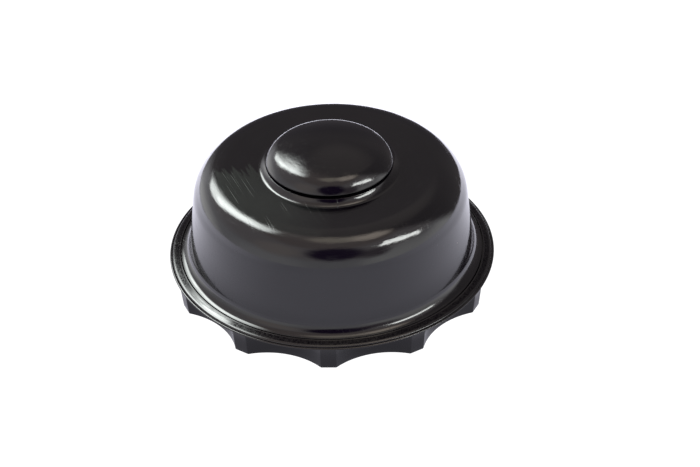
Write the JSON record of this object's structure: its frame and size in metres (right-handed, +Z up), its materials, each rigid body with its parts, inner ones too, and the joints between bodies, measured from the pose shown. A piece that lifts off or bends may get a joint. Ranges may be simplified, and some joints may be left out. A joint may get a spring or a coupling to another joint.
{
  "type": "cap-type oil filter wrench",
  "caption": "Glossy black cap-type oil filter wrench: domed cup on a flanged, fluted socket ring, with a lift-off round boss cap over a square drive.",
  "frame": {"origin": "centre of the bottom rim, in the plane that the wrench stands on", "axes": "+Z up the axis from the open mouth to the boss; one flute's flat land faces -Y, the front"},
  "size_m": [0.103, 0.103, 0.0501],
  "materials": {
    "gloss_black_plastic": "high-gloss black moulding",
    "satin_black_plastic": "gloss to satin black moulding",
    "plated_steel": "machined and plated",
    "zinc_screw": "zinc plated",
    "black_rubber": "matt rubber"
  },
  "bodies": {
    "wrench": {"cup_shell": "gloss_black_plastic", "fluted_socket_ring": "satin_black_plastic", "drive_insert": "plated_steel", "retaining_plate": "plated_steel", "filter_pad": "black_rubber", "ring_screw_1": "zinc_screw", "ring_screw_2": "zinc_screw", "ring_screw_3": "zinc_screw", "ring_screw_4": "zinc_screw", "ring_screw_5": "zinc_screw", "ring_screw_6": "zinc_screw", "plate_screw_1": "zinc_screw", "plate_screw_2": "zinc_screw", "plate_screw_3": "zinc_screw", "plate_screw_4": "zinc_screw"},
    "cap": {"boss_cap": "gloss_black_plastic", "cap_seal_ring": "black_rubber"}
  },
  "joints": [
    {"name": "cap_lift", "type": "slide", "parent": "wrench", "child": "cap", "axis": [0, 0, 1], "range_m": [0, 0.015]}
  ]
}
